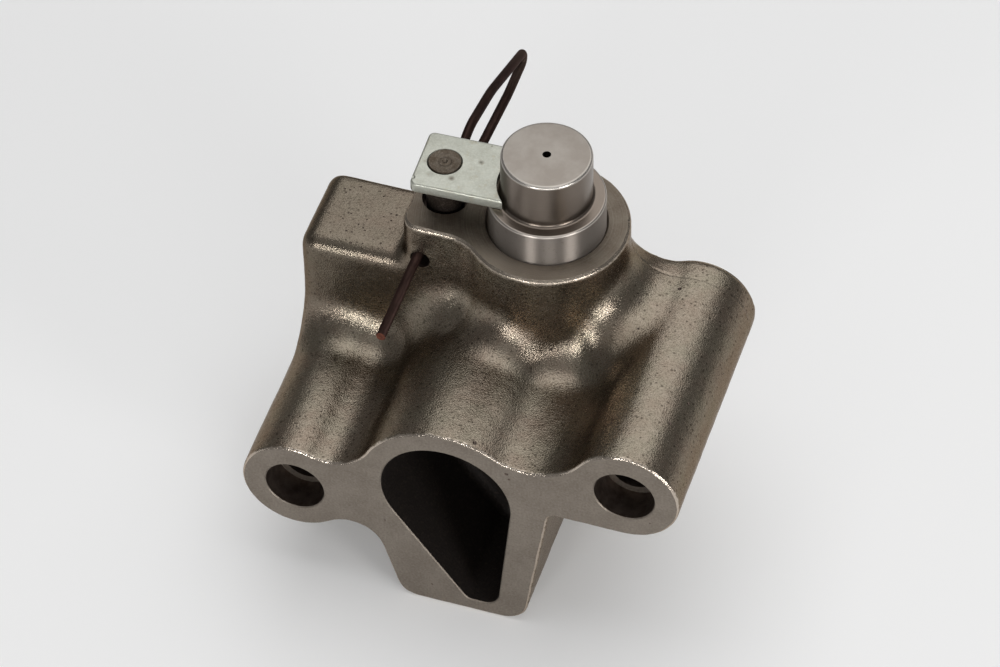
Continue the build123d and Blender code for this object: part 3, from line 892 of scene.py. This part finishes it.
tools = [upright_tool("hollow", plunger_axis, hollow_radius),
         upright_tool("pin_hole", pin_axis, plate_hole_radius), put("rim", mesh_of("rim", rim_tool))]
plate = cut_away(mesh_of("lock_plate", blank), tools)
smoothed(plate, sharp_steel)

# Zinc plating: pale flecks, brownish smears, and a few dark smudges round the dents
zinc_green, zinc_pale, zinc_fleck = (0.350, 0.354, 0.304), (0.418, 0.425, 0.372), (0.58, 0.59, 0.525)
zinc_smear, zinc_freckle, zinc_smudge = (0.33, 0.29, 0.20), (0.20, 0.19, 0.155), (0.16, 0.145, 0.115)
smudge_softness = 0.3
zinc_material = bpy.data.materials.new("zinc_plating")
shader, where = start_material(zinc_material)
smear = clouds(where, size=1.1 * mm, edge=0.66)
freckles = node("Group", {"Vector": where, "Spacing": 2.2 * mm, "Radius": 0.22 * mm, "Share": 0.35},
                node_tree=spots)[0]
fleck = specks(where, size=0.28 * mm)
base = paint(clouds(where, size=2.6 * mm), zinc_green, zinc_pale)
base = over(base, spread(fleck, low=0.45, high=0.75), zinc_fleck, share=0.4)
base = over(base, smear, zinc_smear, share=0.6)
base = over(base, freckles, zinc_freckle, share=0.7)
for x, y, radius, darkness in plate_smudges:
    away = far_from(where, (x * mm, y * mm, plate_high.z))
    ragged = math("MULTIPLY_ADD", smear, -smudge_softness * radius * mm, away)
    smudge = spread(ragged, low=radius * mm, high=smudge_softness * radius * mm)
    base = over(base, smudge, zinc_smudge, share=darkness)
dress(shader, base, metallic=0.75, roughness=0.36, height=fleck, depth=0.022 * mm)
show("lock_plate", plate, zinc_material, "body", "retainer_plate")
coat(frame["nodes"]["ball_cage"].data, zinc_material)

# Lock pin
# A turned steel pin that slides in its bore beside the plunger. Its upper end is riveted over in the
# plate, and the wire lies in a notch in its flank.

pin_radius = 2.7 * mm
tenon_radius = 2.4 * mm
pin_chamfer = 0.4 * mm
rivet_rim = 0.12 * mm
wire_low, wire_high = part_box("lock_wire")
wire_radius = (wire_high.x - wire_low.x) / 2
wire_x = (wire_low.x + wire_high.x) / 2
wire_z = 26.32 * mm
notch_radius = wire_radius + 0.18 * mm
notch_length = 8 * pin_radius
notch_sides = 48
head_z = pin_high.z
# Radius and depth, in mm, of what the riveting tool left in the pin's head, from the rim inwards
rivet_marks = ((1.75, 0.0), (1.62, 0.025), (1.45, 0.0), (1.0, 0.02), (0.88, 0.06), (0.74, 0.02),
               (0.42, 0.02), (0.25, 0.12), (0.0, 0.16))

pin_outline = [
    (0.0, pin_low.z, 0), (pin_radius - pin_chamfer, pin_low.z, 0), (pin_radius, pin_low.z + pin_chamfer, 0),
    (pin_radius, shoulder_z, 0), (tenon_radius, shoulder_z, 0), (tenon_radius, head_z - rivet_rim, 0),
    (tenon_radius - rivet_rim, head_z, 0)]
pin_outline += [(radius * mm, head_z - depth * mm, 0) for radius, depth in rivet_marks]
pin = turned("lock_pin", upright(pin_axis, 0), pin_outline)
notch = bmesh.new()
lie = Matrix.Translation((wire_x, pin_axis.y, wire_z)) @ Matrix.Rotation(pi / 2, 4, "X")
bmesh.ops.create_cone(notch, cap_ends=True, segments=notch_sides, radius1=notch_radius, radius2=notch_radius,
                      depth=notch_length, matrix=lie)
pin = cut_away(pin, [put("notch", mesh_of("notch", notch))])
smoothed(pin, sharp_steel)

# Turned steel: brown with oil, and painted darker below the plate for the plate's shade
pin_brown, pin_pale = (0.060, 0.045, 0.031), (0.090, 0.074, 0.057)
pin_painted_shade, pin_fleck = (0.060, 0.046, 0.038), (0.30, 0.26, 0.22)
shade_fade = 0.2 * mm
pin_fleck_height = 0.8
pin_material = bpy.data.materials.new("turned_steel")
shader, where = start_material(pin_material)
place_z = ways_of(where)["Z"]
from_axis = far_from(where, pin_axis, ways=(1, 1, 0))
marks = marks_along(math("ADD", from_axis, place_z), pitch=0.16 * mm)
fleck = specks(where, size=0.25 * mm)
base = paint(clouds(where, size=1.2 * mm), pin_brown, pin_pale)
# Painted shade below the plate
base = paint(spread(place_z, low=shoulder_z, high=shoulder_z - shade_fade), base, pin_painted_shade)
base = over(base, spread(fleck, low=0.5, high=0.75), pin_fleck, share=0.35)
height = math("MULTIPLY_ADD", fleck, pin_fleck_height, marks["Height"])
dress(shader, base, metallic=0.9, roughness=0.38, height=height, depth=0.012 * mm)
show("lock_pin", pin, pin_material, "body", "retainer_pin")

# Lock wire
# Brown annealed wire, pushed through the cross hole and bent by hand into a long pull loop behind the
# casting. Its front end is cut off and shows coppery metal. The bends hold y, z and radius in mm.

wire_bends = ((42.0, 26.32, 5.0), (47.4, 29.5, 8.0), (58.5, 26.95, 24.0), (73.6, 20.6, 1.1),
              (73.6, 18.85, 0.9), (66.5, 18.7, 20.0))
wire_back_end = (46.0, 21.1)
wire_sides = 24
wire_bend_steps = 12
end_slot = 1


def at_wire(y, z):
    """A point in the upright plane that the wire lies in, from mm."""
    return Vector((wire_x, y * mm, z * mm))


corners = [(Vector((wire_x, wire_low.y, wire_z)), 0)]
corners += [(at_wire(y, z), radius * mm) for y, z, radius in wire_bends]
corners.append((at_wire(*wire_back_end), 0))
path = rounded(corners, wire_bend_steps)
thread = bpy.data.curves.new("lock_wire", "CURVE")
thread.dimensions = "3D"
thread.bevel_depth = wire_radius
thread.bevel_resolution = wire_sides // 4
thread.use_fill_caps = True
spline = thread.splines.new("POLY")
spline.points.add(len(path) - 1)
for point, place in zip(spline.points, path):
    point.co = (*place, 1)
thread_object = put("lock_wire_path", thread)
wire = with_modifiers(thread_object)
bpy.data.objects.remove(thread_object)
bent = bmesh.new()
bent.from_mesh(wire)
bmesh.ops.remove_doubles(bent, verts=bent.verts, dist=on_plane)
bmesh.ops.recalc_face_normals(bent, faces=bent.faces)
for face in bent.faces:
    face.smooth = len(face.verts) == 4
bent.to_mesh(wire)
bent.free()

# Annealed wire: near black, with brown streaks along it, paler towards the loop's end
wire_black, wire_brown = (0.022, 0.011, 0.010), (0.052, 0.030, 0.025)
wire_sooty, wire_loop_end_pale, wire_tint = (0.020, 0.013, 0.010), (0.10, 0.08, 0.065), (0.40, 0.32, 0.28, 1)
streak_stretch = (1, 0.12, 0.4)
pale_from_y, pale_full_y = 66 * mm, 74 * mm
wire_material = bpy.data.materials.new("annealed_wire")
shader, where = start_material(wire_material)
streak = specks(where, size=0.35 * mm, detail=4.0, stretch=streak_stretch)
towards_loop_end = spread(ways_of(where)["Y"], low=pale_from_y, high=pale_full_y)
base = paint(spread(streak, low=0.35, high=0.7), wire_black, wire_brown)
base = over(base, clouds(where, size=2.0 * mm), wire_sooty, share=0.5)
base = over(base, towards_loop_end, wire_loop_end_pale, share=0.5)
dress(shader, base, metallic=0.75, roughness=0.50, height=streak, depth=0.020 * mm)
feed(shader, {"Specular Tint": wire_tint})

# Cut end: torn metal with a coppery look
end_dark, end_copper = (0.060, 0.016, 0.010), (0.19, 0.064, 0.036)
end_material = bpy.data.materials.new("cut_wire_end")
shader, where = start_material(end_material)
torn = specks(where, size=0.35 * mm)
base = paint(spread(torn, low=0.35, high=0.65), end_dark, end_copper)
dress(shader, base, metallic=0.85, roughness=0.38, height=torn, depth=0.06 * mm)
show("annealed_wire", wire, wire_material, "wire", "lock_wire")
wire.materials.append(end_material)
for face in wire.polygons:
    if face.center.y < wire_low.y + on_plane:
        face.material_index = end_slot

# Floor
# A plain white table that the housing's foot stands on. It glows faintly for the camera and in
# reflections only, so that the background stays pale while the shadow is kept.

floor_size = 4.0
floor_white = (0.80, 0.80, 0.80, 1)
floor_roughness = 0.9
floor_glow = 0.14
ground = bmesh.new()
bmesh.ops.create_grid(ground, x_segments=1, y_segments=1, size=floor_size / 2,
                      matrix=Matrix.Translation((0, 0, housing_low.z)))
floor_mesh = mesh_of("floor", ground)
floor = put("floor", floor_mesh)
floor_material = bpy.data.materials.new("white_table")
shader, where = start_material(floor_material)
rays = floor_material.node_tree.nodes.new("ShaderNodeLightPath").outputs
seen = math("MAXIMUM", rays["Is Camera Ray"],
            math("MAXIMUM", rays["Is Glossy Ray"], rays["Is Transmission Ray"]))
feed(shader, {"Base Color": floor_white, "Roughness": floor_roughness, "Specular IOR Level": 0.0,
              "Emission Color": (1, 1, 1, 1), "Emission Strength": math("MULTIPLY", seen, floor_glow)})
floor_mesh.materials.append(floor_material)

# Studio light
# A large soft panel overhead, a faint one in front, and three small softboxes low in front, which
# draw the bright arcs on the casting. The room is dim.

room_light = 0.20
overhead_place = Vector((plunger_axis.x, 0.25, 0.61))
lit = Vector((plunger_axis.x, 0.015, 0.01))
world = bpy.data.worlds.new("studio")
bpy.context.scene.world = world
world.use_nodes = True
feed(world.node_tree.nodes["Background"], {"Color": (1, 1, 1, 1), "Strength": room_light})


def softbox(name, place, width, height, radiance):
    """An area lamp at a place, turned towards the object; its power follows from its brightness."""
    light = bpy.data.lights.new(name, "AREA")
    light.shape = "RECTANGLE"
    light.size = width
    light.size_y = height
    light.energy = radiance * pi * width * height
    lamp = put(name, light)
    lamp.location = place
    lamp.rotation_euler = (lit - place).to_track_quat("-Z", "Y").to_euler()


def towards(azimuth, elevation):
    """The direction at an angle round the object and above the table."""
    return Vector((sin(azimuth) * cos(elevation), -cos(azimuth) * cos(elevation), sin(elevation)))


softbox("overhead_panel", overhead_place, width=0.74, height=0.95, radiance=1.40)
for name, azimuth, elevation, distance, width, height, radiance in (
        ("front_panel", 18, 55, 0.85, 1.20, 1.05, 0.30),
        ("left_softbox", -9, 9, 0.70, 0.15, 0.13, 22.0),
        ("middle_softbox", 23, 9, 0.72, 0.22, 0.11, 9.0),
        ("right_softbox", 58, 12, 0.70, 0.20, 0.13, 19.0)):
    place = lit + distance * towards(radians(azimuth), radians(elevation))
    softbox(name, place, width, height, radiance)

# Camera
# Stands in front of the mounting face, a little to the right and well above, far off with a long
# lens. Its angles, distance and aim are those that fit the photo, in pixels of its picture.

azimuth = radians(18.335)
elevation = radians(47.893)
roll = radians(-0.613)
distance = 700.069 * mm
focal_pixels = 4973.964
image_width, image_height = 1000, 667
aim_u, aim_v = 546.801, 220.314
sensor_width = 36.0
clip_start = 10 * mm
aim = upright(plunger_axis, top_face_z)
back = towards(azimuth, elevation)
level = Vector((cos(azimuth), sin(azimuth), 0))
upward = back.cross(level)
right = cos(roll) * level + sin(roll) * upward
up = -sin(roll) * level + cos(roll) * upward
sideways = (aim_u - image_width / 2) / focal_pixels * distance
higher = -(aim_v - image_height / 2) / focal_pixels * distance
lens = bpy.data.cameras.new("camera")
lens.sensor_width = sensor_width
lens.lens = focal_pixels / image_width * sensor_width
lens.clip_start = clip_start
camera = put("camera", lens)
place = aim - sideways * right - higher * up + distance * back
camera.matrix_world = Matrix((
    (right.x, up.x, back.x, place.x),
    (right.y, up.y, back.y, place.y),
    (right.z, up.z, back.z, place.z),
    (0, 0, 0, 1)))
bpy.context.scene.camera = camera
bpy.context.scene.view_settings.view_transform = "Standard"
